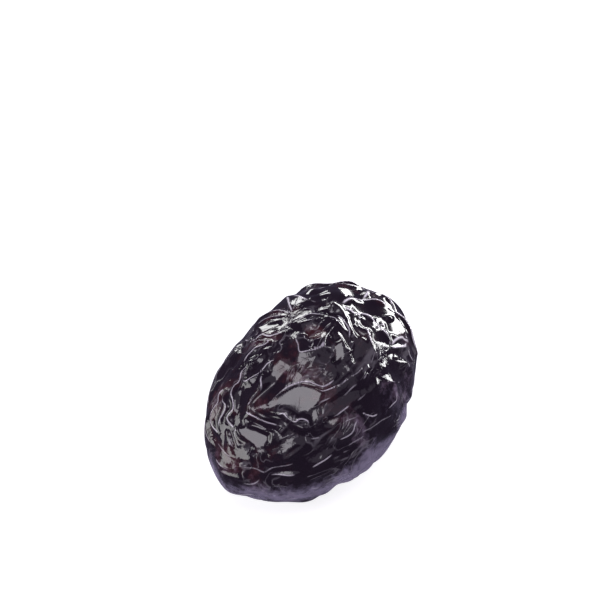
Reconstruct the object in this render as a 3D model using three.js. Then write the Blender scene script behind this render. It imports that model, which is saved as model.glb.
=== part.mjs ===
// A prune, that is a dried plum, lying on its side: one wrinkled fruit grown as one piece.
// Millimetres, +Z up, the long axis along X, resting on z = 0 with the stem scar on top.

import * as THREE from 'three';
import { mergeVertices } from 'three/addons/utils/BufferGeometryUtils.js';

// Driving dimensions, in mm: the smooth body under the folds
const HALF_LENGTH = 19.6;
const HALF_WIDTH = 12.9;
const HALF_HEIGHT = 11.2;
const BEND = 0.73; // both ends curve this far towards +Y
const BEND_MIDDLE = 0.4; // share of the bend taken off all along, so that the body stays centred
const REST_CUT = 0.6; // depth of the underside that is pressed flat where the fruit lies

// Folds of the skin, in mm
const FOLD_DEPTH = 0.9; // a broad, strong fold's height over its creases
const FOLD_WIDTH = 0.55; // half width at which a fold has half of its full height
const FOLD_LEVEL = 0.2; // share of the depth by which creases lie under the smooth body
const WIDEST_FOLD = 3.0; // half width past which a fold grows no higher
const CREASE_ROUND = 0.2; // rounding of the corner where three folds meet
const RIDGE_ROUND = 0.35; // rounding of a ridge's top
const KEEN = 0.6; // added to the keenness of every fold
const KEEN_POWER = 1.15; // how steeply a keen fold falls away from its ridge
const ROUND_POWER = 0.8; // the same for a round one
const SCAR_DEPTH = 0.5;
const SCAR_RADIUS = 1.5;

// Loose folds on the sides where none are laid by hand, in mm
const LOOSE_SPACING = 2.6; // between two patches that a fold is grown from
const LOOSE_SHIFT = 0.108; // how far a patch may lie off its place in the even spiral, in radians
const LOOSE_REACH = 1.95; // distance over which a patch's waves fade
const LOOSE_LIMIT = 7.8; // distance past which they are left out
const LOOSE_WAVELENGTH = 3.3;
const LOOSE_SPREAD = 0.3;
const LOOSE_HEIGHT = 0.5;
const LOOSE_LEVEL = 0.15;
const LOOSE_ROUND = 0.15; // rounding of their ridges, as a share of half a wavelength
const LOOSE_UNEVEN = 0.35; // how much their height changes from place to place
const LOOSE_UNEVEN_SWELLING = [12, 3]; // size and seed of the swelling that it follows
const LOOSE_TURN = 0.5; // how far loose folds may turn, in radians
const LOOSE_TURN_SWELLING = [14, 16]; // size and seed of the swelling that it follows
const LOOSE_SEED = 11;
const LOOSE_SUM = 2.6; // usual size of the sum of their waves
const LOOSE_MOST = 1.2; // most height where the sum is larger than that
const SKIN_AREA = 2330; // in square mm

// Slow swellings of the whole body, in mm, as [height, size, seed]
const SWELLINGS = [[0.12, 16, 77], [0.12, 6.5, 101]];
const SWELLING_WAVES = 8;
const FEWEST_WAVES = 0.6; // waves that fit in a swelling's size, at the least
const MORE_WAVES = 0.9; // and how many more at the most

// The folds laid by hand cover the side that faces this way, and fade out behind it
const FRONT = new THREE.Vector3(-0.656, -0.349, 0.669);
const FRONT_FULL = 0.10;
const FRONT_NONE = -0.15;

// They also fade out this far from the nearest one, in mm
const NEAR_RIDGE = 2.0;
const FAR_FROM_RIDGE = 4.0;

// The loose folds run round this axis
const FOLD_POLE = new THREE.Vector3(-0.12, -0.10, 1.0).normalize();

const TINY = 1e-9;

// The number of facets goes with the square of this
const FINENESS = 23;

// Each fold's ridge as [strength, keenness, places along it], with keenness from 0 for a round
// fold to 1 for a sharp welt, and each place as [degrees round the fruit from +X, degrees up
// from its widest line]
const FOLDS = [
  // Arcs of the swirl round the scar
  [0.8, 0.3, [[125, 80], [150, 80], [165, 79.5], [178, 77.5], [-175, 76.5], [-160, 77.5],
    [-142, 78], [-128, 78], [-118, 79.5], [-102, 80]]],
  [0.8, 0.3, [[80, 79], [62, 80.5], [45, 81.5], [30, 81]]],
  [0.8, 0.4, [[12, 79.5], [-10, 79], [-32, 77.5], [-55, 76.5], [-68, 75], [-82, 73.5],
    [-93, 70.5]]],
  [0.9, 0.0, [[12, 72.5], [0, 71], [-20, 70.3], [-40, 69.2], [-55, 68.8], [-64, 66], [-70, 63.5]]],
  // Twin folds over the smooth leaf
  [0.9, 0.5, [[-179, 50.5], [-178, 54.5], [-174, 58.5], [-169, 61], [-162, 62.7], [-155, 63.4],
    [-146, 62.5], [-139, 60.3], [-133, 58.2], [-129, 57.8], [-123.5, 58], [-118, 59]]],
  [1.1, 0.1, [[-172, 54.5], [-168, 57.3], [-162.5, 59.6], [-155, 61], [-147, 59.5], [-141.5, 57.6],
    [-133.5, 55.6], [-127.5, 55], [-121.5, 54.6], [-117, 54], [-113, 54.3], [-107, 53.5]]],
  [1.0, 0.3, [[-177, 46.8], [-171.5, 46.3], [-168, 46], [-163.5, 46.7], [-159.5, 44.5],
    [-154, 42.3], [-151, 43.6], [-147, 43], [-144.5, 41.2], [-145, 38.5]]],
  // Long folds low on the right
  [0.8, 0.3, [[-137, 41], [-132, 38.5], [-129, 35]]],
  [0.8, 0.3, [[-132, 40.2], [-127, 39.2], [-122, 40], [-114, 40.5]]],
  [0.8, 0.2, [[-129, 25], [-123.5, 24.5], [-120.5, 24.7], [-118.5, 26], [-117, 28.5], [-113, 31]]],
  [0.8, 0.4, [[-112.5, 34.5], [-110.5, 31.5], [-106.5, 26], [-104, 24.5], [-101, 23]]],
  [0.9, 0.0, [[-160, 20], [-155, 24], [-151, 27.5], [-146.5, 29]]],
  [0.8, 0.3, [[-143, 12.5], [-138, 15], [-135, 16], [-132.5, 17], [-129, 18.2]]],
  [0.8, 0.3, [[-165, 12], [-159.5, 12.3], [-156, 11.7], [-152, 11], [-147, 11.5]]],
  [0.9, 0.1, [[158, 7], [163.5, 7.5], [169, 8], [175, 8], [-180, 7], [-174, 6.8]]],
  [0.9, 0.4, [[-72, 37], [-69.5, 30.5], [-68.5, 24], [-68.5, 18]]],
  [0.8, 0.4, [[-98, 20.5], [-93, 20.8], [-90, 20], [-88.5, 23], [-86, 27]]],
  // Net of broad cells on the far right
  [1.0, 0.8, [[3, 69], [-8, 67.8], [-22, 66.5], [-31, 64.5], [-33, 61.5], [-39.5, 58.5],
    [-47, 54.5], [-53, 51], [-57, 48], [-63, 44], [-67, 42]]],
  [1.0, 0.8, [[-3, 67], [-6, 62], [-10, 57], [-13, 53], [-18, 49.5], [-22.5, 46], [-27, 42.5],
    [-31.5, 38], [-33, 34.5], [-37, 33]]],
  [0.9, 0.8, [[-4, 34], [-7, 40], [-11, 46], [-13, 52]]],
  [0.8, 0.7, [[14, 70.5], [8, 70], [3, 69]]],
  [1.0, 0.6, [[45, 36], [30, 38], [20, 38], [8, 36], [-5, 33], [-13, 28], [-22, 28.5], [-31, 30],
    [-37, 25], [-42, 23], [-48, 19], [-54, 11]]],
  [0.8, 0.6, [[22, 46], [10, 45], [0, 42], [-5, 38]]],
  [0.9, 0.7, [[-40, 42.5], [-39, 38.5], [-42, 36.5], [-44, 34], [-48, 31], [-51, 27], [-52.5, 22]]],
  [0.9, 0.7, [[-66, 42], [-60, 39.5], [-55.5, 34], [-54, 28], [-52.5, 22]]],
  [0.9, 0.5, [[-67, 42], [-63, 35.5], [-59, 29], [-54.5, 25.5]]],
  [0.9, 0.6, [[-33, 64], [-42.5, 64.3], [-51.5, 65.5], [-52.7, 63], [-53, 59], [-53, 54.5],
    [-51, 52.5]]],
  [0.9, 0.6, [[-52, 65.5], [-59, 61.3], [-64, 60], [-71, 57.5], [-77, 54]]],
  // Winding folds down the left
  [0.9, 0.1, [[98, 38], [104, 36.5], [108, 36], [111, 34.5], [113.5, 32], [116, 29], [118.5, 25.5],
    [122, 21.5], [125.5, 19.2], [128.5, 18.3], [132, 17]]],
  [0.9, 0.1, [[137, 39.5], [135.5, 34], [136.5, 31.7], [140, 30.5], [141, 26], [141.5, 22],
    [143.5, 20.5], [147, 19.6], [151.5, 20.3], [156, 21]]],
  [0.8, 0.1, [[134, 14], [138, 12], [141, 9.5], [146, 9], [152, 9.5]]],
  [0.8, 0.2, [[139, 36.5], [140, 35.3], [142.5, 34], [147.5, 35.2], [149.5, 33.7], [150, 31],
    [150.5, 28], [151.5, 24.3], [154, 22.4]]],
  [1.0, 0.2, [[124, 63], [128, 60.2], [133.7, 59.8], [133.8, 56.4], [133.3, 53.3], [133, 50.6],
    [134.5, 49], [137, 48], [140.5, 46.3], [141.5, 43], [145.5, 41], [151, 40.3], [155.5, 38],
    [154.3, 34.4], [154.5, 32.2], [158.5, 31.3], [165, 31], [170, 30.2]]],
  [1.0, 0.2, [[140, 48.3], [146.7, 50.3], [149, 52.2], [149.5, 54.6], [150.2, 58.5], [150, 61.5],
    [150.5, 65], [152.7, 67], [158, 69]]],
  [1.0, 0.2, [[151, 59], [156, 58.5], [159.7, 57.1], [165, 55.5], [167, 53], [166, 49.8],
    [165.5, 46.5], [165.3, 43.3], [167, 41.8], [172.4, 41.9], [177.5, 42.2], [-174, 41.7],
    [-169, 41.4], [-162, 40.3]]],
  [0.9, 0.2, [[103, 48], [107, 54], [108.5, 60], [112.5, 63.5], [116, 64], [117, 60.5], [117.5, 57],
    [119.5, 55.5], [121.5, 54], [125, 51.5], [128, 49]]],
  [1.0, 0.3, [[98, 39], [100, 43], [102, 48], [102.5, 52], [101, 56.5], [103, 60], [105.5, 64],
    [108, 70], [109, 74]]],
  // Folds up the far left
  [0.9, 0.5, [[58, 42], [60, 49], [63, 55], [68, 65]]],
  [0.9, 0.5, [[80, 40], [76, 44], [73, 48], [71, 52], [69.5, 58], [68, 65]]],
  // Folds at the lower left end
  [0.8, 0.1, [[161, 27], [165, 24.5], [167.5, 23], [171.5, 21.8], [175, 22], [-179, 22.3],
    [-174, 21.4]]],
  [0.9, 0.2, [[163, 31.5], [166, 29], [169, 26.7], [173, 24.8], [177, 24.5]]],
  [1.0, 0.0, [[177, 37], [-178, 36.5], [-172, 35.5], [-167, 36]]],
];

// Shades of the skin
const SKIN = { color: 0x1c1219, roughness: 0.14, metalness: 0 };

const SIZES = new THREE.Vector3(HALF_LENGTH, HALF_WIDTH, HALF_HEIGHT);

// Seeded draws from 0 to 1, the mulberry32 way
function seededDraws(seed) {
  let state = seed >>> 0;
  return () => {
    state = (state + 0x6D2B79F5) >>> 0;
    let t = state;
    t = Math.imul(t ^ (t >>> 15), t | 1);
    t ^= t + Math.imul(t ^ (t >>> 7), t | 61);
    return ((t ^ (t >>> 14)) >>> 0) / 4294967296;
  };
}

function smoothStep(low, high, x) {
  const t = THREE.MathUtils.clamp((x - low) / (high - low), 0, 1);
  return t * t * (3 - 2 * t);
}

// The smooth body, from a direction seen from its middle
function bodyPoint(direction) {
  return direction.clone().multiply(SIZES);
}

function bodyNormal(direction) {
  return direction.clone().divide(SIZES).normalize();
}

function directionAt([around, up]) {
  const a = THREE.MathUtils.degToRad(around);
  const e = THREE.MathUtils.degToRad(up);
  return new THREE.Vector3(Math.cos(e) * Math.cos(a), Math.cos(e) * Math.sin(a), Math.sin(e));
}

// A slow swelling, as a function of place: a sum of seeded sine waves
function makeSwelling(size, seed) {
  const draw = seededDraws(seed);
  const waves = [];
  for (let k = 0; k < SWELLING_WAVES; k += 1) {
    const way = new THREE.Vector3(draw() * 2 - 1, draw() * 2 - 1, draw() * 2 - 1).normalize();
    way.multiplyScalar((FEWEST_WAVES + MORE_WAVES * draw()) / size);
    waves.push([way, draw()]);
  }
  return (p) => {
    let sum = 0;
    for (const [way, start] of waves) {
      sum += Math.sin(2 * Math.PI * (p.dot(way) + start));
    }
    return sum / 2;
  };
}

// The folds laid by hand
const ridges = FOLDS.map(([strength, keenness, places]) => {
  const points = places.map((place) => bodyPoint(directionAt(place)));
  const curve = new THREE.CatmullRomCurve3(points, false, 'catmullrom', 0.5);
  const steps = curve.getPoints(3 * (points.length - 1));
  return { strength, keenness: Math.min(keenness + KEEN, 1), points: steps };
});

function distanceToRidge(p, ridge) {
  let nearest = Infinity;
  const step = new THREE.Vector3();
  const from = new THREE.Vector3();
  for (let i = 0; i + 1 < ridge.points.length; i += 1) {
    step.subVectors(ridge.points[i + 1], ridge.points[i]);
    from.subVectors(p, ridge.points[i]);
    const t = THREE.MathUtils.clamp(from.dot(step) / step.lengthSq(), 0, 1);
    nearest = Math.min(nearest, from.addScaledVector(step, -t).lengthSq());
  }
  return Math.sqrt(nearest);
}

// Across a fold, from 0 on its ridge to 1 in the crease: its height, from 1 down to 0
function keenFold(across, round) {
  return Math.max(1 - Math.hypot(across, round), 0) ** KEEN_POWER;
}

function roundFold(across) {
  return (1 - across ** 2) ** ROUND_POWER;
}

// Height over the smooth body: highest on a ridge, lowest half-way to the next one
function laidFolds(distances, toRidge) {
  const nearest = distances.indexOf(toRidge);
  let near = 0;
  distances.forEach((distance, i) => {
    if (i !== nearest) {
      near += Math.exp(-(distance - toRidge) / 2 / CREASE_ROUND);
    }
  });
  const toCrease = -CREASE_ROUND * Math.log(near + TINY);
  const halfWidth = toRidge + THREE.MathUtils.clamp(toCrease, 0, WIDEST_FOLD) + TINY;
  const across = Math.min(toRidge / halfWidth, 1);
  const { strength, keenness } = ridges[nearest];
  const full = FOLD_DEPTH * strength * halfWidth / (halfWidth + FOLD_WIDTH);
  const keen = keenFold(across, RIDGE_ROUND / halfWidth);
  return full * THREE.MathUtils.lerp(roundFold(across), keen, keenness) - FOLD_LEVEL * FOLD_DEPTH;
}

// Loose folds: patches of parallel waves, each put in step with the ones laid before it
function makeLooseFolds() {
  const draw = seededDraws(LOOSE_SEED);
  const turning = makeSwelling(...LOOSE_TURN_SWELLING);
  const count = Math.floor(SKIN_AREA / LOOSE_SPACING ** 2);
  const patches = [];

  const sumAt = (p) => {
    let re = 0;
    let im = 0;
    const from = new THREE.Vector3();
    for (const patch of patches) {
      from.subVectors(p, patch.middle);
      if (from.lengthSq() < LOOSE_LIMIT ** 2) {
        const weight = Math.exp(-from.lengthSq() / (2 * LOOSE_REACH ** 2));
        const phase = 2 * Math.PI * patch.way.dot(from) + patch.phase;
        re += weight * Math.cos(phase);
        im += weight * Math.sin(phase);
      }
    }
    return [re, im];
  };

  // places spread evenly in a spiral, taken in a seeded order
  const order = Array.from({ length: count }, (_, i) => [draw(), i]).sort((a, b) => a[0] - b[0]);
  for (const [, i] of order) {
    const z = 1 - 2 * (i + 0.5) / count;
    const turn = i * Math.PI * (3 - Math.sqrt(5));
    const r = Math.sqrt(1 - z * z);
    const shift = new THREE.Vector3(draw() - 0.5, draw() - 0.5, draw() - 0.5);
    const direction = new THREE.Vector3(r * Math.cos(turn), r * Math.sin(turn), z);
    direction.addScaledVector(shift, LOOSE_SHIFT).normalize();
    const middle = bodyPoint(direction);
    const normal = bodyNormal(direction);
    const round = new THREE.Vector3().crossVectors(FOLD_POLE, normal).normalize();
    const down = new THREE.Vector3().crossVectors(normal, round);
    const angle = LOOSE_TURN * (turning(middle) + 0.5 * (draw() - 0.5));
    const wavelength = LOOSE_WAVELENGTH * (1 + LOOSE_SPREAD * (2 * draw() - 1));
    const way = down.multiplyScalar(Math.cos(angle)).addScaledVector(round, Math.sin(angle));
    way.divideScalar(wavelength);
    const loosePhase = 2 * Math.PI * draw();
    const [re, im] = sumAt(middle);
    const phase = Math.hypot(re, im) > TINY ? Math.atan2(im, re) : loosePhase;
    patches.push({ middle, way, phase });
  }
  return (p) => {
    const [re, im] = sumAt(p);
    const across = Math.abs(Math.atan2(im, re)) / Math.PI;
    const amount = Math.min(Math.hypot(re, im) / LOOSE_SUM, LOOSE_MOST);
    return keenFold(across, LOOSE_ROUND) * amount;
  };
}

const looseFolds = makeLooseFolds();
const looseStrength = makeSwelling(...LOOSE_UNEVEN_SWELLING);
const swellings = SWELLINGS.map(([height, size, seed]) => [height, makeSwelling(size, seed)]);

function skinHeight(direction) {
  const p = bodyPoint(direction);
  const normal = bodyNormal(direction);
  const distances = ridges.map((ridge) => distanceToRidge(p, ridge));
  const toRidge = Math.min(...distances);
  const behind = smoothStep(FRONT_FULL, FRONT_NONE, normal.dot(FRONT));
  const loose = Math.max(behind, smoothStep(NEAR_RIDGE, FAR_FROM_RIDGE, toRidge));
  const uneven = 1 + LOOSE_UNEVEN * looseStrength(p);
  const crest = LOOSE_HEIGHT * uneven * looseFolds(p) - LOOSE_LEVEL;
  let height = THREE.MathUtils.lerp(laidFolds(distances, toRidge), crest, loose);
  for (const [size, swelling] of swellings) {
    height += size * swelling(p);
  }
  const fromScar = Math.hypot(p.x, p.y) / SCAR_RADIUS;
  if (p.z > 0) {
    height -= SCAR_DEPTH * Math.exp(-(fromScar ** 4));
  }
  return height;
}

function skinPoint(direction) {
  const height = skinHeight(direction);
  const point = bodyPoint(direction).addScaledVector(bodyNormal(direction), height);
  point.y += BEND * (direction.x ** 2 - BEND_MIDDLE);
  point.z = Math.max(point.z + HALF_HEIGHT - REST_CUT, 0);
  return point;
}

function buildPrune() {
  const ball = new THREE.IcosahedronGeometry(1, FINENESS);
  ball.deleteAttribute('normal');
  ball.deleteAttribute('uv');
  const geometry = mergeVertices(ball, 1e-5);
  const position = geometry.getAttribute('position');
  for (let i = 0; i < position.count; i += 1) {
    const direction = new THREE.Vector3().fromBufferAttribute(position, i).normalize();
    const point = skinPoint(direction);
    position.setXYZ(i, point.x, point.y, point.z);
  }
  geometry.computeBoundingBox();
  const middle = geometry.boundingBox.getCenter(new THREE.Vector3());
  geometry.translate(-middle.x, -middle.y, 0);
  geometry.computeVertexNormals();
  const mesh = new THREE.Mesh(geometry, new THREE.MeshStandardMaterial(SKIN));
  mesh.name = 'prune';
  return mesh;
}

const fruit = new THREE.Group();
fruit.add(buildPrune());

export default fruit;
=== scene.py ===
import math

import bpy
import numpy as np
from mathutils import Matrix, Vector


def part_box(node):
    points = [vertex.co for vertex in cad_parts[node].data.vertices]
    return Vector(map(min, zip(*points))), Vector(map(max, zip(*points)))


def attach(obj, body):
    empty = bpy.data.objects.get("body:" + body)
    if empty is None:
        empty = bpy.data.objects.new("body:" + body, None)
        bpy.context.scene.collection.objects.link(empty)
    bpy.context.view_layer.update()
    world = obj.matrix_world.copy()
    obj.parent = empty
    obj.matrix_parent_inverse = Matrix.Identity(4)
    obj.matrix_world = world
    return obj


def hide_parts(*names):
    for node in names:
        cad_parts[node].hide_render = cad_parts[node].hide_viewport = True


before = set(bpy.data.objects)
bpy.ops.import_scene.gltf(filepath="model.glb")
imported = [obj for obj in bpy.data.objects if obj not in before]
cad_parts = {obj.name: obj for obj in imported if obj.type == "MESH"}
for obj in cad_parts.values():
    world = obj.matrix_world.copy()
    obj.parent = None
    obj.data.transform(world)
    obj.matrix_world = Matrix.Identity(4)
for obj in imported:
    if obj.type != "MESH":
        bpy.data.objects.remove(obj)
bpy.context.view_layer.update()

# The photograph's view, in degrees and metres, with the fruit's middle at its own pixel
TURN = -62.0
RISE = 42.0
DISTANCE = 0.230
LENS = 100.0
SENSOR = 36.0
PICTURE = 600
MIDDLE_PIXEL = (313.0, 393.6)
MIDDLE = Vector((0, 0, 0.0103))
NEAREST_SEEN = 0.01
BACK = np.array([math.sin(math.radians(TURN)) * math.cos(math.radians(RISE)),
                 -math.cos(math.radians(TURN)) * math.cos(math.radians(RISE)),
                 math.sin(math.radians(RISE))])

# The way to each light from the fruit
LIGHTS = {
    "over": (-0.25, -0.10, 0.96),
    "behind": (0.97, -0.17, 0.17),
    "left": (-0.55, 0.80, 0.24),
    "beyond": (0.75, 0.63, 0.14),
}
WIDE_OVER = (-0.10, -0.25, 0.96)

# Each lamp: the way to it, its distance and size in metres, its watts and its colour
LAMPS = {
    "overhead": (LIGHTS["over"], 0.8, (0.5, 0.5), 4.0, (0.97, 0.94, 1.0)),
    "wide overhead": (WIDE_OVER, 0.9, (1.5, 1.3), 3.0, (0.90, 0.82, 1.0)),
    "behind": (LIGHTS["behind"], 0.6, (0.45, 0.15), 3.6, (1, 1, 1)),
    "beyond": (LIGHTS["beyond"], 0.6, (0.16, 0.14), 0.5, (1, 1, 1)),
    "left": (LIGHTS["left"], 0.6, (0.5, 0.42), 3.0, (1, 1, 1)),
}
ROOM_LIGHT = (0.085, 0.078, 0.12, 1)

# The floor, a pale sheet that glows a little
FLOOR_SIZE = 6.0
FLOOR_COLOUR = (0.50, 0.49, 0.53, 1)
FLOOR_ROUGHNESS = 0.8
FLOOR_GLOW = 0.80
WHITE = (1, 1, 1, 1)

# Millimetres, as in the part's source: the smooth body under the folds
HALF_LENGTH = 19.6
HALF_WIDTH = 12.9
HALF_HEIGHT = 11.2
SIZES = np.array([HALF_LENGTH, HALF_WIDTH, HALF_HEIGHT])
BEND = 0.73
BEND_MIDDLE = 0.4
REST_CUT = 0.6

# Folds of the skin: the main ones as in the source, and all of them again, finer and keener;
# those as strong as MAIN_FOLD or more are the main ones
MAIN_FOLD = 0.8
MAIN_RELIEF = {"depth": 0.9, "level": 0.2, "ridge_round": 0.35, "crease_round": 0.2,
               "power": 1.15}
FINE_RELIEF = {"depth": 0.35, "level": 0.15, "ridge_round": 0.18, "crease_round": 0.16,
               "power": 1.5}
SOFT_POWER = 0.8
FOLD_WIDTH = 0.55
WIDEST_FOLD = 3.0
RIDGE_TAPER = 1.2
KEEN = 0.6
LEAST_CRISP = 0.35
SCAR_DEPTH = 0.5
SCAR_RADIUS = 1.5
SCAR_EDGE = 4

# Loose folds on the sides where no listed ones are laid
LOOSE_SPACING = 2.6
LOOSE_SHIFT = 0.108
LOOSE_REACH = 1.95
LOOSE_LIMIT = 7.8
LOOSE_WAVELENGTH = 3.3
LOOSE_SPREAD = 0.3
LOOSE_HEIGHT = 0.5
LOOSE_LEVEL = 0.15
LOOSE_ROUND = 0.15
LOOSE_POWER = 1.15
LOOSE_UNEVEN = 0.35
LOOSE_UNEVEN_SWELLING = (12, 3)
LOOSE_TURN = 0.5
LOOSE_TURN_SPREAD = 0.5
LOOSE_TURN_SWELLING = (14, 16)
LOOSE_SEED = 11
LOOSE_SUM = 2.6
LOOSE_MOST = 1.2
LOOSE_CRISP = 0.7
SKIN_AREA = 2330

# Slow swellings: the height, size and seed of each, and the sine waves in them
SWELLINGS = [(0.12, 16, 77), (0.12, 6.5, 101)]
SWELLING_WAVES = 8
FEWEST_WAVES = 0.6
MORE_WAVES = 0.9

# Where the listed folds give way to the loose ones: behind, and far from any ridge
FRONT = np.array([-0.656, -0.349, 0.669])
FRONT_FULL = 0.10
FRONT_NONE = -0.15
NEAR_RIDGE = 2.0
FAR_FROM_RIDGE = 4.0
FOLD_POLE = np.array([-0.12, -0.10, 1.0])

MM_IN_M = 1000
TINY = 1e-9
PLACES_AT_A_TIME = 4000

# Colours of the skin: the dark skin, its thinner patches, its bloom with a painted floor reflection
# low down, and the painted highlights along its ridges and over its net
NEAR_BLACK = (0.009, 0.005, 0.010, 1)
MAROON = (0.036, 0.010, 0.013, 1)
BLOOM_AND_FLOOR_REFLECTION = (0.19, 0.162, 0.243, 1)
PAINTED_RIDGE_HIGHLIGHT = (0.50, 0.46, 0.52, 1)
PAINTED_NET_HIGHLIGHT = (0.66, 0.62, 0.67, 1)

# Where the finish changes, in millimetres along, across and up the fruit
FAR_END = (3.0, 9.0)
NET_RISE = (12.5, 17.0)
BESIDE = (-6.0, -12.0)
BESIDE_END = (14.0, 8.0)
NEAR_WAY = (0.88, 0.47)
NEAR_SIDE = (2.0, -9.0)
# Where the bloom and the painted floor reflection gather, low down
BLOOM_AND_REFLECTION_RISE = (13.5, 7.0)
BLOOM_AND_REFLECTION_FOOT = (3.0, 7.5)
WINDS_RISE = (4.0, 9.0)

# Its noises, each with the size of its clouds in millimetres
WANDER = {"size": 1.6, "detail": 3}
PATCHES = {"size": 5.0, "detail": 3, "roughness": 0.6, "distortion": 0.4}
SPECKS = {"size": 0.8, "detail": 3, "roughness": 0.6}
PORES = {"size": 0.22, "detail": 2}
CRINKLE = {"size": 1.2, "detail": 3, "roughness": 0.55, "distortion": 0.8}
WINDING = {"size": 2.6, "detail": 2, "roughness": 0.5, "distortion": 0.9}
WINDING_DRAWN_OUT = (0.45, 1.0, 1.0)
WINDING_PATCHES = {"size": 6.0, "detail": 1}

# The line along each ridge, raised and painted as a highlight, and the shoulder beside it
LINE_WIDTH = 0.04
LINE_WANDER = 0.07
LINE_WIDER = 0.4
SHOULDER_WIDTH = 0.42
HIGHLIGHT_WANDER = 0.4
HIGHLIGHT_IN_NET = 0.4
BRIGHTER_HIGHLIGHT_IN_NET = 0.6
HIGHLIGHT_RANGE = (0.52, 0.98)

# Thin winding wrinkles: the noise's level that each one follows, and where they lie
WINDS_LEVEL = 0.5
WINDS_WIDTH = 0.025
WINDS_RANGE = (0.44, 0.60)
# How much of the painted highlight colour the winding wrinkles take
WINDS_HIGHLIGHT_SHARE = 0.12

# Patches of maroon, and of bloom with a painted floor reflection low down
MAROON_BY_SPECKS = 0.3
MAROON_BY_SCAR = 0.3
MAROON_RANGE = (0.66, 0.90)
BLOOM_BY_PATCHES = 1.3
BLOOM_BY_SPECKS = 0.6
BLOOM_AND_REFLECTION_ALL_ROUND = 0.34
BLOOM_AND_REFLECTION_NEAR = 0.35
BLOOM_AND_REFLECTION_BESIDE = 0.22
BLOOM_AND_REFLECTION_RANGE = (1.12, 1.75)
BLOOM_AND_REFLECTION_COVER = 0.9

# Roughness of the bare skin, and what each part adds
BARE_ROUGHNESS = 0.065
BLOOM_ROUGHNESS = 0.20
MAROON_ROUGHNESS = 0.06
FLAT_ROUGHNESS = 0.12

# Fine relief in the finish, in millimetres
LINE_RELIEF = 0.03
SHOULDER_RELIEF = 0.045
WINDS_RELIEF = 0.05
PORE_RELIEF = 0.004
CRINKLE_RELIEF = 0.09
FAR_SMOOTH = 0.95
FLAT_SMOOTH = 0.8
SKIN_IOR = 1.5

# Cuts along each edge of the cube that is blown up into the fruit
CUTS = 127

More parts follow.
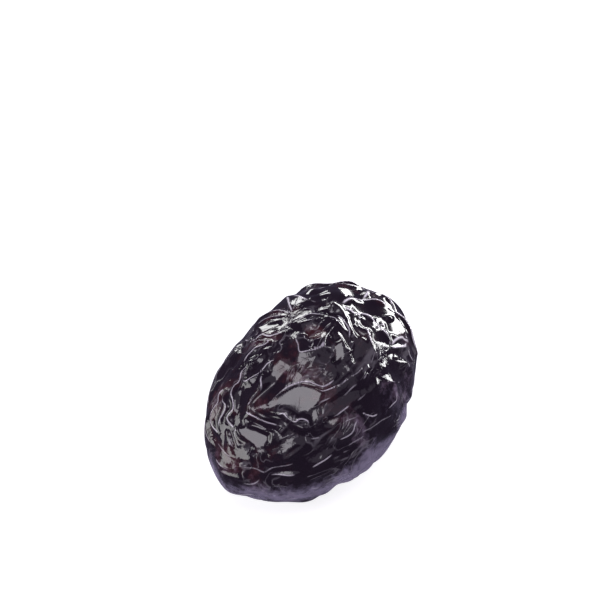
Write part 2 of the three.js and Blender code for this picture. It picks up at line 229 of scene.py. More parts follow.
# The folds: how strong and how keen each is, and its places in degrees round and up the body
FOLDS = [
    # Arcs of the swirl round the scar
    [0.8, 0.3, [[125, 80], [150, 80], [165, 79.5], [178, 77.5], [-175, 76.5], [-160, 77.5],
        [-142, 78], [-128, 78], [-118, 79.5], [-102, 80]]],
    [0.6, 0.2, [[100, 83], [125, 84.5], [160, 84], [-160, 84.5], [-120, 84], [-85, 85]]],
    [0.8, 0.3, [[80, 79], [62, 80.5], [45, 81.5], [30, 81]]],
    [0.8, 0.4, [[12, 79.5], [-10, 79], [-32, 77.5], [-55, 76.5], [-68, 75], [-82, 73.5],
        [-93, 70.5]]],
    [0.7, 0.4, [[-8, 75.5], [-22, 74.5], [-35, 73.7], [-59, 71.5], [-72, 70.3], [-86, 69.5]]],
    [0.9, 0.0, [[12, 72.5], [0, 71], [-20, 70.3], [-40, 69.2], [-55, 68.8], [-64, 66],
        [-70, 63.5]]],
    [0.6, 0.3, [[-70, 80.5], [-78, 76.8], [-84, 73.8]]],
    [0.5, 0.1, [[-92, 76], [-100, 72.5], [-108, 68]]],
    [0.6, 0.2, [[-148, 74], [-152, 71], [-160, 67.5], [-164, 66]]],
    [0.5, 0.2, [[-134, 65], [-129, 67.5], [-124, 67], [-117, 66]]],
    [0.5, 0.2, [[-107, 62], [-112, 58]]],
    # Twin folds over the smooth leaf
    [0.9, 0.5, [[-179, 50.5], [-178, 54.5], [-174, 58.5], [-169, 61], [-162, 62.7], [-155, 63.4],
        [-146, 62.5], [-139, 60.3], [-133, 58.2], [-129, 57.8], [-123.5, 58], [-118, 59]]],
    [1.1, 0.1, [[-172, 54.5], [-168, 57.3], [-162.5, 59.6], [-155, 61], [-147, 59.5],
        [-141.5, 57.6], [-133.5, 55.6], [-127.5, 55], [-121.5, 54.6], [-117, 54], [-113, 54.3],
        [-107, 53.5]]],
    [1.0, 0.3, [[-177, 46.8], [-171.5, 46.3], [-168, 46], [-163.5, 46.7], [-159.5, 44.5],
        [-154, 42.3], [-151, 43.6], [-147, 43], [-144.5, 41.2], [-145, 38.5]]],
    [0.7, 0.3, [[-143, 49.3], [-137, 50], [-130.5, 50.2], [-124, 50]]],
    # Long folds low on the right
    [0.8, 0.3, [[-137, 41], [-132, 38.5], [-129, 35]]],
    [0.8, 0.3, [[-132, 40.2], [-127, 39.2], [-122, 40], [-114, 40.5]]],
    [0.8, 0.2, [[-129, 25], [-123.5, 24.5], [-120.5, 24.7], [-118.5, 26], [-117, 28.5],
        [-113, 31]]],
    [0.8, 0.4, [[-112.5, 34.5], [-110.5, 31.5], [-106.5, 26], [-104, 24.5], [-101, 23]]],
    [0.5, 0.2, [[-108, 30], [-104.5, 28], [-101.5, 27.5]]],
    [0.7, 0.2, [[-141, 24], [-139, 25.5], [-136.5, 27.2], [-132.5, 27.5]]],
    [0.9, 0.0, [[-160, 20], [-155, 24], [-151, 27.5], [-146.5, 29]]],
    [0.8, 0.3, [[-143, 12.5], [-138, 15], [-135, 16], [-132.5, 17], [-129, 18.2]]],
    [0.8, 0.3, [[-165, 12], [-159.5, 12.3], [-156, 11.7], [-152, 11], [-147, 11.5]]],
    [0.7, 0.1, [[177, 12.5], [-175, 14.5], [-171, 15], [-166, 13.7], [-163, 16], [-159, 17.5],
        [-154, 18], [-148, 19.5]]],
    [0.9, 0.1, [[158, 7], [163.5, 7.5], [169, 8], [175, 8], [-180, 7], [-174, 6.8]]],
    [0.7, 0.3, [[-180, 2.5], [-173.5, 3.2], [-170, 5], [-168.3, 7.5], [-168, 10.5]]],
    [0.6, 0.3, [[-124, 16], [-120, 17.5], [-116.5, 17.5], [-110, 16.5]]],
    [0.6, 0.1, [[-145, 2], [-135, 4], [-126, 7.5], [-119, 8], [-110, 7]]],
    [0.6, 0.1, [[-165, -1], [-158, 1.5], [-150, 0]]],
    [0.7, 0.1, [[178, -9], [-172, -11], [-160, -10], [-150, -12], [-138, -12], [-126, -9],
        [-116, -7]]],
    [0.9, 0.4, [[-72, 37], [-69.5, 30.5], [-68.5, 24], [-68.5, 18]]],
    [0.7, 0.3, [[-88, 34], [-84.5, 29.5], [-82, 25.5], [-78, 21]]],
    [0.8, 0.4, [[-98, 20.5], [-93, 20.8], [-90, 20], [-88.5, 23], [-86, 27]]],
    [0.6, 0.2, [[-100, 42], [-93.5, 43], [-86.5, 42.5], [-82, 40]]],
    [0.6, 0.2, [[-104, 47], [-97, 48.5], [-90, 49.5], [-80, 52], [-74, 53]]],
    [0.5, 0.2, [[-77, 20], [-76, 13], [-80, 6]]],
    [0.5, 0.1, [[-160, 34], [-152, 34.5], [-146, 33]]],
    # Net of broad cells on the far right
    [1.0, 0.8, [[3, 69], [-8, 67.8], [-22, 66.5], [-31, 64.5], [-33, 61.5], [-39.5, 58.5],
        [-47, 54.5], [-53, 51], [-57, 48], [-63, 44], [-67, 42]]],
    [1.0, 0.8, [[-3, 67], [-6, 62], [-10, 57], [-13, 53], [-18, 49.5], [-22.5, 46], [-27, 42.5],
        [-31.5, 38], [-33, 34.5], [-37, 33]]],
    [0.9, 0.8, [[-4, 34], [-7, 40], [-11, 46], [-13, 52]]],
    [0.7, 0.7, [[5, 61], [1, 58], [-1, 54], [-2, 50]]],
    [0.8, 0.7, [[14, 70.5], [8, 70], [3, 69]]],
    [1.0, 0.6, [[45, 36], [30, 38], [20, 38], [8, 36], [-5, 33], [-13, 28], [-22, 28.5], [-31, 30],
        [-37, 25], [-42, 23], [-48, 19], [-54, 11]]],
    [0.8, 0.6, [[22, 46], [10, 45], [0, 42], [-5, 38]]],
    [0.9, 0.7, [[-40, 42.5], [-39, 38.5], [-42, 36.5], [-44, 34], [-48, 31], [-51, 27],
        [-52.5, 22]]],
    [0.9, 0.7, [[-66, 42], [-60, 39.5], [-55.5, 34], [-54, 28], [-52.5, 22]]],
    [0.9, 0.5, [[-67, 42], [-63, 35.5], [-59, 29], [-54.5, 25.5]]],
    [0.7, 0.6, [[-67, 42], [-68.5, 46], [-67.5, 50]]],
    [0.9, 0.6, [[-33, 64], [-42.5, 64.3], [-51.5, 65.5], [-52.7, 63], [-53, 59], [-53, 54.5],
        [-51, 52.5]]],
    [0.9, 0.6, [[-52, 65.5], [-59, 61.3], [-64, 60], [-71, 57.5], [-77, 54]]],
    [0.6, 0.6, [[-50, 52], [-48.5, 48], [-48.8, 45]]],
    [0.7, 0.2, [[-57, 26], [-60, 22], [-61, 16], [-60, 10]]],
    # Winding folds down the left
    [0.9, 0.1, [[98, 38], [104, 36.5], [108, 36], [111, 34.5], [113.5, 32], [116, 29],
        [118.5, 25.5], [122, 21.5], [125.5, 19.2], [128.5, 18.3], [132, 17]]],
    [0.7, 0.1, [[132, 17], [133, 22], [133.7, 26], [134.5, 29]]],
    [0.9, 0.1, [[137, 39.5], [135.5, 34], [136.5, 31.7], [140, 30.5], [141, 26], [141.5, 22],
        [143.5, 20.5], [147, 19.6], [151.5, 20.3], [156, 21]]],
    [0.8, 0.1, [[134, 14], [138, 12], [141, 9.5], [146, 9], [152, 9.5]]],
    [0.8, 0.2, [[139, 36.5], [140, 35.3], [142.5, 34], [147.5, 35.2], [149.5, 33.7], [150, 31],
        [150.5, 28], [151.5, 24.3], [154, 22.4]]],
    [1.0, 0.2, [[124, 63], [128, 60.2], [133.7, 59.8], [133.8, 56.4], [133.3, 53.3], [133, 50.6],
        [134.5, 49], [137, 48], [140.5, 46.3], [141.5, 43], [145.5, 41], [151, 40.3], [155.5, 38],
        [154.3, 34.4], [154.5, 32.2], [158.5, 31.3], [165, 31], [170, 30.2]]],
    [1.0, 0.2, [[140, 48.3], [146.7, 50.3], [149, 52.2], [149.5, 54.6], [150.2, 58.5], [150, 61.5],
        [150.5, 65], [152.7, 67], [158, 69]]],
    [1.0, 0.2, [[151, 59], [156, 58.5], [159.7, 57.1], [165, 55.5], [167, 53], [166, 49.8],
        [165.5, 46.5], [165.3, 43.3], [167, 41.8], [172.4, 41.9], [177.5, 42.2], [-174, 41.7],
        [-169, 41.4], [-162, 40.3]]],
    [0.6, 0.4, [[160, 48.5], [161, 44.8], [162.3, 42.2], [164, 39.5]]],
    [0.7, 0.3, [[165.8, 38.5], [169.8, 36], [173.3, 33]]],
    [0.9, 0.2, [[103, 48], [107, 54], [108.5, 60], [112.5, 63.5], [116, 64], [117, 60.5],
        [117.5, 57], [119.5, 55.5], [121.5, 54], [125, 51.5], [128, 49]]],
    [1.0, 0.3, [[98, 39], [100, 43], [102, 48], [102.5, 52], [101, 56.5], [103, 60], [105.5, 64],
        [108, 70], [109, 74]]],
    [0.7, 0.0, [[118, 77], [121, 73.5], [124, 71.3], [135, 72.5], [143, 72], [146, 70],
        [147.5, 67]]],
    # Folds up the far left
    [0.7, 0.3, [[92.5, 40], [91.5, 43], [89, 48], [87, 53], [84.5, 58], [82, 61]]],
    [0.7, 0.3, [[99, 46], [98, 49], [95, 53], [93, 57], [91, 61], [90, 64]]],
    [0.7, 0.3, [[88, 41], [84, 45], [80, 50], [77, 55], [74, 60]]],
    [0.9, 0.5, [[58, 42], [60, 49], [63, 55], [68, 65]]],
    [0.9, 0.5, [[80, 40], [76, 44], [73, 48], [71, 52], [69.5, 58], [68, 65]]],
    [0.6, 0.3, [[56, 46], [53, 52], [50, 58], [46, 62], [39, 65], [33, 66]]],
    [0.6, 0.3, [[48, 44], [42, 48], [34, 49.5], [26, 49]]],
    [0.6, 0.4, [[34, 59], [28, 58.5], [22, 58.5], [18, 61]]],
    # Folds at the lower left end
    [0.8, 0.1, [[161, 27], [165, 24.5], [167.5, 23], [171.5, 21.8], [175, 22], [-179, 22.3],
        [-174, 21.4]]],
    [0.9, 0.2, [[163, 31.5], [166, 29], [169, 26.7], [173, 24.8], [177, 24.5]]],
    [1.0, 0.0, [[177, 37], [-178, 36.5], [-172, 35.5], [-167, 36]]],
    [0.7, 0.0, [[152, 14], [160, 15], [168, 15.5], [175, 17]]],
    # Finer folds between the leaf and the right side
    [0.6, 0.4, [[-122, 54.5], [-116.5, 54], [-111.5, 54], [-105.5, 53.5], [-100.5, 53], [-94, 53],
        [-88.5, 52]]],
    [0.6, 0.4, [[-120.5, 46.5], [-115.5, 47.5], [-109.5, 48.5], [-103.5, 47.5]]],
    [0.5, 0.4, [[-114, 40], [-108.5, 40], [-103.5, 40], [-100.5, 40.5]]],
    [0.6, 0.3, [[-124, 30.5], [-123, 32], [-120.5, 33], [-117.5, 32.5], [-113.5, 31.5],
        [-111, 31]]],
    [0.6, 0.3, [[-116, 21], [-110.5, 19.5], [-105.5, 18.5], [-100, 16.5], [-95, 14],
        [-92.5, 13.5]]],
    [0.5, 0.4, [[-91, 15.5], [-91, 9], [-90, 1], [-91, -4.5]]],
    # Finer arcs over the scar
    [0.6, 0.5, [[178, 81], [-156.5, 80], [-139, 79], [-123.5, 78], [-111, 79.5], [-102, 80.5]]],
    [0.7, 0.5, [[81.5, 74.5], [63, 74.5], [45.5, 75], [21, 77.5], [0.5, 78.5]]],
    # Finer folds low down
    [0.6, 0.3, [[-145.5, 32.5], [-139.5, 31], [-133, 30]]],
    [0.5, 0.4, [[-127.5, 15.5], [-124, 14], [-119.5, 12.5], [-116, 11.5], [-117, 14.5]]],
    [0.5, 0.3, [[-124, 5.5], [-122, 5], [-117.5, 3], [-113, 1]]],
    [0.7, 0.2, [[-177.5, -11.5], [-172.5, -13.5], [-167, -16.5], [-161.5, -19], [-157, -22]]],
    [0.7, 0.2, [[-155, -19.5], [-150.5, -15], [-147, -14.5], [-143, -20.5]]],
    [0.5, 0.3, [[-147, 6.5], [-141, 6.5], [-134, 7.5], [-128, 7.5]]],
    [0.5, 0.3, [[-177, -1.5], [-169.5, -2.5], [-161.5, -4.5], [-152, -4.5], [-144, -3.5]]],
    [0.5, 0.4, [[156, -12], [162, -15], [172.5, -9.5], [-179.5, -7.5]]],
]

# Smooth flats between the folds: the light that each one is turned towards, or away or dark for
# a shallow hollow, and the places round its edge
FLATS = [
    # Leaf
    ("over", [[-179, 50], [-174.5, 56.5], [-166.5, 60], [-154, 61], [-141, 59], [-133, 54],
        [-136, 50.5], [-140.5, 48.5], [-146.5, 47], [-152, 45.5], [-157.5, 48], [-165, 50],
        [-171, 51]]),
    # Lower left
    ("over", [[168, 34], [-179.5, 37.5], [-168, 36], [-167, 32], [-169.5, 28.5], [-173.5, 26.5],
        [-177, 28], [177, 29], [173, 29.5], [168.5, 31]]),
    # Below it
    ("left", [[168, 21], [173, 23], [176.5, 25], [-178.5, 23], [-174.5, 21.5], [-175, 19],
        [-179, 17.5], [176.5, 18.5], [172, 19]]),
    # Far lower left
    ("left", [[165, 4], [170.5, 7.5], [177, 9], [-178.5, 8], [-176, 6], [-180, 5.5], [174.5, 5.5],
        [169, 4.5]]),
    # Small slanting
    ("over", [[-157.5, 22.5], [-154.5, 27], [-151, 29.5], [-147, 29.5], [-147, 27.5],
        [-149.5, 25.5], [-153, 22.5], [-156, 21]]),
    # Small round
    ("over", [[-140, 25], [-138, 27.5], [-134.5, 26.5], [-134, 24.5], [-137, 24.5], [-139.5, 24]]),
    # Three-cornered
    ("over", [[-134.5, 40], [-122.5, 38], [-125, 34.5], [-129, 33.5], [-132.5, 37]]),
    # Over the leaf's tip
    ("over", [[157, 64], [161, 68], [176.5, 69], [176, 64.5], [175, 60.5], [166.5, 62]]),
    # Beside the scar
    ("over", [[-97, 74.5], [-87, 72], [-97, 67], [-108.5, 65.5], [-113.5, 67.5], [-108, 71.5]]),
    # Narrow by the scar
    ("over", [[-105, 62.5], [-104, 60.5], [-106.5, 56.5], [-109, 57], [-108, 59.5]]),
    # Small by the scar
    ("over", [[-133, 65], [-125.5, 65], [-127.5, 63], [-131, 63]]),
    # Band over the scar
    ("behind", [[8.5, 71], [-7, 68.5], [-33, 68], [-55.5, 68.5], [-64, 64], [-68, 61],
        [-73.5, 65.5], [-62.5, 69], [-34, 71], [-10, 73], [5, 75]]),
    # Band left of the scar
    ("over", [[-156.5, 67.5], [-152.5, 72], [-138.5, 75.5], [-135, 74], [-139.5, 71.5],
        [-149, 69.5]]),
    # Left oval
    ("beyond", [[129.5, 52], [122, 56.5], [125, 61], [130, 62], [135, 57.5], [135.5, 54]]),
    # Upper left lobe
    ("beyond", [[92, 45.5], [82, 60.5], [87, 64.5], [99, 56]]),
    # Right white
    ("behind", [[-73, 38.5], [-70, 34], [-67.5, 26.5], [-68, 22], [-71, 27.5], [-74, 35]]),
    # Right white below
    ("behind", [[-83, 31.5], [-80.5, 30], [-79.5, 26.5], [-81, 26], [-83.5, 26.5], [-84, 30]]),
    # Hollow over the leaf
    ("away", [[177.5, 64], [-169, 62.5], [-175.5, 57.5], [-180, 51.5], [177, 47], [171.5, 44],
        [165.5, 46.5], [166, 52.5], [168.5, 59]]),
    # Hollow under the leaf
    ("away", [[171.5, 44], [179.5, 46.5], [-168, 46.5], [-154, 42], [-145.5, 38.5], [-147.5, 37],
        [-157.5, 40.5], [-168.5, 42.5], [179.5, 42.5]]),
    # Slit
    ("away", [[161, 28.5], [165, 28.5], [170, 26.5], [173.5, 23.5], [172, 23], [167.5, 25.5],
        [164, 26.5]]),
    # Dark wedge
    ("away", [[-164.5, 13.5], [-156.5, 16.5], [-148, 15.5], [-145, 13.5], [-147.5, 11.5],
        [-156.5, 13.5]]),
    # Dark oval
    ("away", [[137.5, 50], [137, 56], [141, 61.5], [148, 62], [149, 55.5], [145, 51]]),
    # Long hollow on the left
    ("away", [[150, 44], [147.5, 49], [156.5, 53.5], [165, 53], [162, 48.5], [167.5, 41.5],
        [172.5, 36.5], [167, 36.5], [157.5, 39.5]]),
    # Large cell of the net
    ("dark", [[-11, 62.5], [-19.5, 53.5], [-31.5, 41], [-37.5, 33.5], [-40.5, 39], [-39, 54],
        [-27.5, 63]]),
    # Second cell
    ("dark", [[-40, 65.5], [-44, 57], [-52, 53.5], [-57, 58], [-57, 62.5], [-51, 65]]),
    # Third cell
    ("dark", [[-58, 57.5], [-55, 52], [-57.5, 47.5], [-62.5, 42], [-66.5, 46], [-69.5, 53.5],
        [-67, 57]]),
    # Fourth cell
    ("dark", [[-47, 47], [-43, 37], [-46, 29], [-51, 28.5], [-56, 38], [-55, 45.5]]),
    # Arc beside the scar
    ("dark", [[-28.5, 79], [-54, 75.5], [-77, 70], [-89.5, 66], [-86, 70.5], [-70.5, 77],
        [-40, 80.5]]),
    # Right of the scar
    ("dark", [[-77, 66], [-72, 59], [-82.5, 55.5], [-96, 59], [-92.5, 64]]),
    # Top cell of the net
    ("dark", [[17, 52], [9, 48.5], [0.5, 46], [-7, 44], [-5, 52.5], [6, 58]]),
    # Narrow cell of the net
    ("dark", [[-10, 39], [-16, 32.5], [-24.5, 28], [-32, 29.5], [-29, 37], [-21, 42], [-14, 45.5]]),
]

# How the flats are laid: lengths in millimetres, turns in degrees
FLAT_EDGE = 0.35
FLATNESS = 0.92
HOLLOW_DEPTH = 0.15
HOLLOW_TURN = 12.0
MOST_TURN = 30.0
MOST_LIFT = 2.0
SAME_SIDE = 0.5


def seeded_draws(seed):
    """Seeded draws from 0 to 1, the mulberry32 way."""
    state = seed & 0xFFFFFFFF
    while True:
        state = (state + 0x6D2B79F5) & 0xFFFFFFFF
        t = state
        t = ((t ^ (t >> 15)) * (t | 1)) & 0xFFFFFFFF
        t ^= (t + (((t ^ (t >> 7)) * (t | 61)) & 0xFFFFFFFF)) & 0xFFFFFFFF
        yield ((t ^ (t >> 14)) & 0xFFFFFFFF) / 4294967296


def unit(v):
    return v / np.linalg.norm(v, axis=-1, keepdims=True)


def smooth_step(low, high, x):
    t = np.clip((x - low) / (high - low), 0, 1)
    return t * t * (3 - 2 * t)


def direction_at(around, up):
    a, e = math.radians(around), math.radians(up)
    return np.array([math.cos(e) * math.cos(a), math.cos(e) * math.sin(a), math.sin(e)])


def make_swelling(size, seed):
    """A slow swelling, as a function of place: a sum of seeded sine waves."""
    draw = seeded_draws(seed)
    waves = []
    for _ in range(SWELLING_WAVES):
        way = unit(np.array([next(draw) * 2 - 1 for _ in range(3)]))
        way = way * ((FEWEST_WAVES + MORE_WAVES * next(draw)) / size)
        waves.append((way, next(draw)))
    return lambda p: sum(np.sin(2 * math.pi * (p @ way + start)) for way, start in waves) / 2


def ridge_line(places, cuts=3):
    """A smooth line over the body through the places given."""
    q = [direction_at(*place) * SIZES for place in places]
    q = [2 * q[0] - q[1]] + q + [2 * q[-1] - q[-2]]
    line = []
    for a, b, c, d in zip(q[:-3], q[1:-2], q[2:-1], q[3:]):
        for k in range(cuts):
            t = k / cuts
            line.append(0.5 * (2 * b + (c - a) * t + (2 * a - 5 * b + 4 * c - d) * t**2
                               + (3 * b - a - 3 * c + d) * t**3))
    line.append(q[-2])
    return np.array(line)


def nearest_on_line(p, normal, line):
    """Distance to a ridge's line, its side, and how far its nearer end is along the line."""
    lengths = np.linalg.norm(np.diff(line, axis=0), axis=1)
    starts = np.concatenate([[0], np.cumsum(lengths)])
    best = np.full(len(p), np.inf)
    to_end = np.zeros(len(p))
    side = np.ones(len(p))
    for i, (a, b) in enumerate(zip(line[:-1], line[1:])):
        step = b - a
        off = p - a
        t = np.clip(off @ step / (step @ step), 0, 1)
        off = off - t[:, None] * step
        squared = (off * off).sum(1)
        nearer = squared < best
        best = np.where(nearer, squared, best)
        along = starts[i] + t * lengths[i]
        to_end = np.where(nearer, np.minimum(along, starts[-1] - along), to_end)
        hand = np.sign((np.cross(step, normal) * off).sum(1))
        side = np.where(nearer, hand, side)
    return np.sqrt(best), side, to_end


def keen_fold(across, rounding, power):
    """A fold's height, from 1 down to 0, from 0 on its ridge across to 1 in the crease."""
    return np.clip(1 - np.hypot(across, rounding), 0, 1)**power


def laid_folds(distance, strengths, keenness, depth, level, ridge_round, crease_round, power):
    """Height over the smooth body, and where each place lies between a ridge and a crease."""
    first = distance.argmin(0)
    every = np.arange(len(first))
    to_ridge = distance[first, every]
    gap = (distance - to_ridge) / 2
    gap[first, every] = np.inf
    to_crease = -crease_round * np.log(np.exp(-gap / crease_round).sum(0) + TINY)
    half_width = to_ridge + np.clip(to_crease, 0, WIDEST_FOLD) + TINY
    across = np.clip(to_ridge / half_width, 0, 1)
    full = depth * strengths[first] * half_width / (half_width + FOLD_WIDTH)
    keen = keenness[first]
    height = full * ((1 - keen) * (1 - across**2)**SOFT_POWER
                     + keen * keen_fold(across, ridge_round / half_width, power))
    return height - level * depth, first, across, half_width


def make_loose_folds():
    """Patches of parallel waves, each put in step with the ones laid before it."""
    draw = seeded_draws(LOOSE_SEED)
    turning = make_swelling(*LOOSE_TURN_SWELLING)
    count = int(SKIN_AREA / LOOSE_SPACING**2)
    middles, ways, phases = np.zeros((count, 3)), np.zeros((count, 3)), np.zeros(count)

    def sum_at(p, done):
        off = p[:, None] - middles[None, :done]
        squared = (off * off).sum(-1)
        weight = np.exp(-squared / (2 * LOOSE_REACH**2)) * (squared < LOOSE_LIMIT**2)
        phase = 2 * math.pi * (off * ways[None, :done]).sum(-1) + phases[:done]
        return (weight * np.exp(1j * phase)).sum(1)

    order = sorted(range(count), key=[next(draw) for _ in range(count)].__getitem__)
    for done, i in enumerate(order):
        z = 1 - 2 * (i + 0.5) / count
        turn = i * math.pi * (3 - math.sqrt(5))
        r = math.sqrt(1 - z * z)
        shift = np.array([next(draw) - 0.5 for _ in range(3)])
        direction = np.array([r * math.cos(turn), r * math.sin(turn), z])
        direction = unit(direction + shift * LOOSE_SHIFT)
        middles[done] = direction * SIZES
        normal = unit(direction / SIZES)
        around = unit(np.cross(FOLD_POLE, normal))
        down = np.cross(normal, around)
        angle = LOOSE_TURN * (turning(middles[done]) + LOOSE_TURN_SPREAD * (next(draw) - 0.5))
        wavelength = LOOSE_WAVELENGTH * (1 + LOOSE_SPREAD * (2 * next(draw) - 1))
        ways[done] = (down * math.cos(angle) + around * math.sin(angle)) / wavelength
        loose_phase = 2 * math.pi * next(draw)
        total = sum_at(middles[done][None], done)[0]
        phases[done] = np.angle(total) if abs(total) > TINY else loose_phase

    def loose_folds(p):
        parts = np.array_split(p, max(1, len(p) // PLACES_AT_A_TIME))
        total = np.concatenate([sum_at(part, count) for part in parts])
        across = np.angle(total) / math.pi
        amount = np.minimum(abs(total) / LOOSE_SUM, LOOSE_MOST)
        return keen_fold(across, LOOSE_ROUND, LOOSE_POWER) * amount, across, amount

    return loose_folds


def half_way(light):
    """The way a surface faces to throw this light at the camera."""
    return unit(unit(np.array(light)) + BACK)


def turned(way, towards, most):
    """The way turned towards another one, by this many degrees at most."""
    whole = math.acos(np.clip(way @ towards, -1, 1))
    aside = unit(towards - way * (way @ towards))
    turn = min(whole, math.radians(most))
    return way * math.cos(turn) + aside * math.sin(turn)


def flat_share(p, normal, corners):
    """How far each place lies in a flat with these corners, from 0 to 1."""
    middle = corners.mean(0)
    up = unit(middle / SIZES**2)
    across = unit(np.cross(up, BACK + up))
    along = np.cross(up, across)
    axes = np.stack([across, along], 1)
    q, outline = (p - middle) @ axes, (corners - middle) @ axes
    nearest = np.full(len(p), np.inf)
    inside = np.zeros(len(p), bool)
    for a, b in zip(outline, np.roll(outline, -1, 0)):
        step, off = b - a, q - a
        t = np.clip(off @ step / (step @ step), 0, 1)
        nearest = np.minimum(nearest, np.linalg.norm(off - t[:, None] * step, axis=1))
        crosses = (a[1] > q[:, 1]) != (b[1] > q[:, 1])
        inside ^= crosses & (off[:, 0] < step[0] * off[:, 1] / (step[1] or TINY))
    signed = np.where(inside, -nearest, nearest)
    return smooth_step(FLAT_EDGE, -FLAT_EDGE, signed) * (normal @ up > SAME_SIDE)


def lay_flats(p, normal, height):
    """The height with the flats laid in, and how far each place lies in one of them."""
    flat = np.zeros(len(p))
    for light, places in FLATS:
        corners = np.array([direction_at(*place) * SIZES for place in places])
        share = flat_share(p, normal, corners)
        middle = corners.mean(0)
        up = unit(middle / SIZES**2)
        if light == "away":
            faces = turned(up, -half_way(LIGHTS["over"]), HOLLOW_TURN)
        elif light == "dark":
            faces = turned(up, BACK, HOLLOW_TURN)
        else:
            faces = turned(up, half_way(LIGHTS[light]), MOST_TURN)
        level = (share * height).sum() / share.sum() - HOLLOW_DEPTH * (light in ("dark", "away"))
        foot = (share[:, None] * p).sum(0) / share.sum()
        plane = ((foot + up * level - p) @ faces) / (normal @ faces)
        share *= FLATNESS
        height = height + share * (np.clip(plane, -MOST_LIFT, MOST_LIFT) - height)
        flat = np.maximum(flat, share)
    return height, flat


def wrinkled_skin(direction):
    """The skin's places, and what its finish needs to know of its folds."""
    p = direction * SIZES
    normal = unit(direction / SIZES)
    distance, side, to_end = (np.stack(v) for v in zip(
        *(nearest_on_line(p, normal, ridge_line(places)) for _, _, places in FOLDS)))
    strengths = np.array([strength for strength, _, _ in FOLDS])
    keenness = np.clip(np.array([keen for _, keen, _ in FOLDS]) + KEEN, 0, 1)
    main = strengths >= MAIN_FOLD
    behind = smooth_step(FRONT_FULL, FRONT_NONE, normal @ FRONT)
    loose = np.maximum(behind, smooth_step(NEAR_RIDGE, FAR_FROM_RIDGE, distance[main].min(0)))
    laid = laid_folds(distance[main], strengths[main], keenness[main], **MAIN_RELIEF)[0]
    fine, first, across, half_width = laid_folds(distance, strengths, keenness, **FINE_RELIEF)
    every = np.arange(len(p))
    across = across * side[first, every]
    crisp = strengths[first] * (LEAST_CRISP + (1 - LEAST_CRISP) * keenness[first])
    crisp *= smooth_step(0, RIDGE_TAPER, to_end[first, every])
    crest, loose_across, amount = make_loose_folds()(p)
    uneven = 1 + LOOSE_UNEVEN * make_swelling(*LOOSE_UNEVEN_SWELLING)(p)
    height = (1 - loose) * (laid + fine)
    height += loose * (LOOSE_HEIGHT * uneven * crest - LOOSE_LEVEL)
    height, flat = lay_flats(p, normal, height)
    crisp *= 1 - flat
    for size, *rest in SWELLINGS:
        height += size * make_swelling(*rest)(p)
    scar = np.exp(-(np.hypot(p[:, 0], p[:, 1]) / SCAR_RADIUS)**SCAR_EDGE) * (p[:, 2] > 0)
    height -= SCAR_DEPTH * scar
    place = p + normal * height[:, None]
    place[:, 1] += BEND * (direction[:, 0]**2 - BEND_MIDDLE)
    place[:, 2] = np.maximum(place[:, 2] + HALF_HEIGHT - REST_CUT, 0)
    unlaid = loose > 0.5
    loose_crisp = LOOSE_CRISP * amount * (2 * loose - 1)
    across = np.where(unlaid, loose_across, across)
    about = {
        "across_cos": np.cos(math.pi * across),
        "across_sin": np.sin(math.pi * across),
        "half_width": np.where(unlaid, LOOSE_WAVELENGTH / 2, half_width),
        "crispness": np.where(unlaid, loose_crisp, crisp * (1 - 2 * loose)),
        "scar": scar,
        "flatness": flat,
    }
    return place, about


class Value:
    """A number in a finish that changes over the surface, worked with as plain maths."""

    def __init__(self, finish, socket):
        self.finish = finish
        self.socket = socket

    def maths(self, operation, *others):
        inputs = dict(enumerate((self, *others)))
        return self.finish.node("ShaderNodeMath", {"operation": operation}, inputs)

    def __add__(self, other):
        return self.maths("ADD", other)

    __radd__ = __add__

    def __mul__(self, other):
        return self.maths("MULTIPLY", other)

    __rmul__ = __mul__

    def __sub__(self, other):
        return self.maths("SUBTRACT", other)

    def __rsub__(self, other):
        return self * -1 + other

    def __truediv__(self, other):
        return self.maths("DIVIDE", other)


class Finish:
    """One material, with the nodes that its maths adds."""

    def __init__(self, name):
        self.material = bpy.data.materials.new(name)
        self.material.use_nodes = True
        self.tree = self.material.node_tree
        self.shader = self.tree.nodes["Principled BSDF"]

    def node(self, kind, settings=None, inputs=None, output=0):
        node = self.tree.nodes.new(kind)
        for name, value in (settings or {}).items():
            setattr(node, name, value)
        for key, value in (inputs or {}).items():
            self.feed(node.inputs[key], value)
        return Value(self, node.outputs[output])

    def feed(self, socket, value):
        if isinstance(value, Value):
            self.tree.links.new(value.socket, socket)
        else:
            socket.default_value = value

    def set(self, **sockets):
        for name, value in sockets.items():
            self.feed(self.shader.inputs[name.replace("_", " ")], value)

    def attribute(self, name):
        return self.node("ShaderNodeAttribute", {"attribute_name": name}, output="Fac")

    def noise(self, place, size, detail=2, roughness=0.5, distortion=0.0):
        """Cloudy noise from 0 to 1, with clouds of this size in mm."""
        inputs = {"Vector": place, "Scale": 1 / size, "Detail": detail, "Roughness": roughness,
                  "Distortion": distortion}
        return self.node("ShaderNodeTexNoise", {}, inputs)

    def step(self, value, low, high):
        """From 0 at low to 1 at high, smoothly."""
        inputs = {"Value": value, "From Min": low, "From Max": high}
        return self.node("ShaderNodeMapRange", {"interpolation_type": "SMOOTHSTEP"}, inputs)

    def bell(self, off):
        """1 where off is 0, falling away smoothly to both sides."""
        return (off * off * -1).maths("EXPONENT")

    def blend(self, share, first, second):
        """The first colour where share is 0, the second where it is 1."""
        inputs = {0: share, 6: first, 7: second}
        return self.node("ShaderNodeMix", {"data_type": "RGBA"}, inputs, 2)


def ridge_marks(finish, crispness, wander, wider):
    """The thin line along each ridge, which carries a bump and the painted highlight, and the
    broader shoulder beside it.
    """
    angle = finish.attribute("across_sin").maths("ARCTAN2", finish.attribute("across_cos"))
    from_ridge = angle.maths("ABSOLUTE") / math.pi * finish.attribute("half_width")
    width = (LINE_WIDTH + LINE_WANDER * wander) * (1 + LINE_WIDER * wider)
    line = finish.bell(from_ridge / width) * crispness
    return line, finish.bell(from_ridge / SHOULDER_WIDTH) * crispness


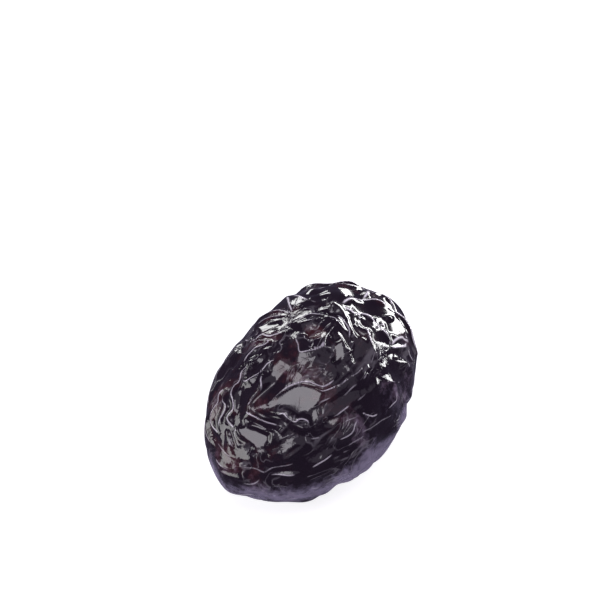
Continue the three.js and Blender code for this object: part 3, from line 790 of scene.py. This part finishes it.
def winding_wrinkles(finish, place, high):
    """Thin wrinkles that wind about between the folds."""
    inputs = {"Vector": place, "Scale": WINDING_DRAWN_OUT}
    drawn_out = finish.node("ShaderNodeMapping", {}, inputs)
    winding = finish.noise(drawn_out, **WINDING)
    where = finish.step(finish.noise(place, **WINDING_PATCHES), *WINDS_RANGE)
    where = where * finish.step(high, *WINDS_RISE)
    return finish.bell((winding - WINDS_LEVEL) / WINDS_WIDTH) * where


def bloom_and_floor_reflection_share(finish, patches, specks, long, wide, high):
    """How much bloom and painted floor reflection lies on the skin: low down, most of it on the
    near side.
    """
    low_down = finish.step(high, *BLOOM_AND_REFLECTION_RISE) * (0.5 + 0.5 * finish.step(high, *BLOOM_AND_REFLECTION_FOOT))
    near = finish.step(long * NEAR_WAY[0] + wide * NEAR_WAY[1], *NEAR_SIDE)
    beside = finish.step(wide, *BESIDE) * finish.step(long, *BESIDE_END)
    placed_bloom_and_reflection = low_down * (BLOOM_AND_REFLECTION_ALL_ROUND + BLOOM_AND_REFLECTION_NEAR * near) + beside * BLOOM_AND_REFLECTION_BESIDE
    cloudy = patches * BLOOM_BY_PATCHES + specks * BLOOM_BY_SPECKS
    return finish.step(cloudy + placed_bloom_and_reflection, *BLOOM_AND_REFLECTION_RANGE)


def skin_finish():
    finish = Finish("wrinkled skin")
    place = finish.node("ShaderNodeTexCoord", output="Object")
    scale = {0: place, "Scale": MM_IN_M}
    place = finish.node("ShaderNodeVectorMath", {"operation": "SCALE"}, scale)
    long, wide, high = (
        finish.node("ShaderNodeSeparateXYZ", {}, {0: place}, axis) for axis in "XYZ")
    crispness = finish.attribute("crispness")
    flatness = finish.attribute("flatness")
    scar = finish.attribute("scar")
    far = finish.step(long, *FAR_END)
    net = far * finish.step(high, *NET_RISE)

    wander = finish.noise(place, **WANDER)
    line, shoulder = ridge_marks(finish, crispness, wander, far + net)
    winds = winding_wrinkles(finish, place, high) * (1 - flatness)

    patches = finish.noise(place, **PATCHES)
    specks = finish.noise(place, **SPECKS)
    thin = patches + specks * MAROON_BY_SPECKS + scar * MAROON_BY_SCAR
    maroon = finish.step(thin, *MAROON_RANGE)
    bloom_and_reflection = bloom_and_floor_reflection_share(finish, patches, specks, long, wide, high)
    # Painted highlights: pale lines along the ridges, whiter and wider over the net, standing in
    # for the lamps' glints on the crests
    highlight_strength = crispness + wander * HIGHLIGHT_WANDER + net * HIGHLIGHT_IN_NET
    painted_highlight = line * finish.step(highlight_strength, *HIGHLIGHT_RANGE) * (1 + BRIGHTER_HIGHLIGHT_IN_NET * net)
    colour = finish.blend(maroon, NEAR_BLACK, MAROON)
    # Bloom over the dark skin, lighter lilac low down as a painted reflection of the white floor
    colour = finish.blend(bloom_and_reflection * BLOOM_AND_REFLECTION_COVER, colour, BLOOM_AND_FLOOR_REFLECTION)
    highlight_colour = finish.blend(net, PAINTED_RIDGE_HIGHLIGHT, PAINTED_NET_HIGHLIGHT)
    # The painted highlights, with a little of them along the winding wrinkles too
    colour = finish.blend(painted_highlight.maths("MAXIMUM", winds * WINDS_HIGHLIGHT_SHARE), colour, highlight_colour)
    roughness = (BARE_ROUGHNESS + BLOOM_ROUGHNESS * bloom_and_reflection + MAROON_ROUGHNESS * specks * maroon
                 + FLAT_ROUGHNESS * flatness * patches)

    pores = finish.noise(place, **PORES)
    crinkle = finish.noise(place, **CRINKLE)
    crinkle = crinkle * (1 - far * FAR_SMOOTH) * (1 - flatness * FLAT_SMOOTH)
    relief = (line * LINE_RELIEF + shoulder * SHOULDER_RELIEF + winds * WINDS_RELIEF
              + pores * PORE_RELIEF + crinkle * CRINKLE_RELIEF)
    bump = {"Strength": 1.0, "Distance": 1 / MM_IN_M, "Height": relief}
    normal = finish.node("ShaderNodeBump", {}, bump)
    finish.set(Base_Color=colour, Roughness=roughness, Normal=normal, IOR=SKIN_IOR)
    return finish.material


def grown_prune():
    bpy.ops.object.select_all(action="DESELECT")
    bpy.ops.mesh.primitive_cube_add(size=2, location=(0, 0, 0))
    prune = bpy.context.object
    prune.name = "wrinkled_prune"
    bpy.ops.object.mode_set(mode="EDIT")
    bpy.ops.mesh.select_all(action="SELECT")
    bpy.ops.mesh.subdivide(number_cuts=CUTS)
    bpy.ops.object.mode_set(mode="OBJECT")
    mesh = prune.data
    corners = np.zeros(len(mesh.vertices) * 3)
    mesh.vertices.foreach_get("co", corners)
    place, about = wrinkled_skin(unit(np.tan(corners.reshape(-1, 3) * math.pi / 4)))
    low, high = (np.array(corner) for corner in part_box("prune"))
    middle = (place.min(0) + place.max(0)) / 2
    place = place / MM_IN_M
    place[:, :2] += (low[:2] + high[:2]) / 2 - middle[:2] / MM_IN_M
    mesh.vertices.foreach_set("co", place.ravel())
    for name, values in about.items():
        attribute = mesh.attributes.new(name, "FLOAT", "POINT")
        attribute.data.foreach_set("value", values.astype(np.float32))
    mesh.update()
    bpy.ops.object.shade_smooth()
    mesh.materials.append(skin_finish())
    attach(prune, "root")
    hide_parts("prune")


def pale_floor():
    bpy.ops.mesh.primitive_plane_add(size=FLOOR_SIZE, location=(0, 0, 0))
    floor = bpy.context.object
    floor.name = "floor"
    floor.visible_glossy = False
    finish = Finish("pale floor")
    finish.set(Base_Color=FLOOR_COLOUR, Roughness=FLOOR_ROUGHNESS, Emission_Color=WHITE,
               Emission_Strength=FLOOR_GLOW)
    floor.data.materials.append(finish.material)


def photograph_camera():
    back = Vector(BACK)
    right = Vector((math.cos(math.radians(TURN)), math.sin(math.radians(TURN)), 0))
    up = back.cross(right)
    focal = PICTURE * LENS / SENSOR
    across = (MIDDLE_PIXEL[0] - PICTURE / 2) / focal * DISTANCE
    down = (MIDDLE_PIXEL[1] - PICTURE / 2) / focal * DISTANCE
    lens = bpy.data.cameras.new("camera")
    lens.lens = LENS
    lens.sensor_width = SENSOR
    lens.clip_start = NEAREST_SEEN
    camera = bpy.data.objects.new("camera", lens)
    camera.location = MIDDLE + back * DISTANCE - right * across + up * down
    camera.rotation_mode = "QUATERNION"
    camera.rotation_quaternion = (-back).to_track_quat("-Z", "Y")
    bpy.context.scene.collection.objects.link(camera)
    bpy.context.scene.camera = camera


def soft_light(name, towards, distance, size, watts, colour):
    light = bpy.data.lights.new(name, "AREA")
    light.shape = "RECTANGLE"
    light.size, light.size_y = size
    light.energy = watts
    light.color = colour
    lamp = bpy.data.objects.new(name, light)
    lamp.location = MIDDLE + Vector(towards).normalized() * distance
    lamp.rotation_euler = (MIDDLE - lamp.location).to_track_quat("-Z", "Y").to_euler()
    bpy.context.scene.collection.objects.link(lamp)


def studio_light():
    world = bpy.data.worlds.new("studio")
    world.use_nodes = True
    world.node_tree.nodes["Background"].inputs["Color"].default_value = ROOM_LIGHT
    bpy.context.scene.world = world
    for name, lamp in LAMPS.items():
        soft_light(name, *lamp)


photograph_camera()
studio_light()
pale_floor()
grown_prune()
bpy.context.scene.view_settings.view_transform = "Standard"
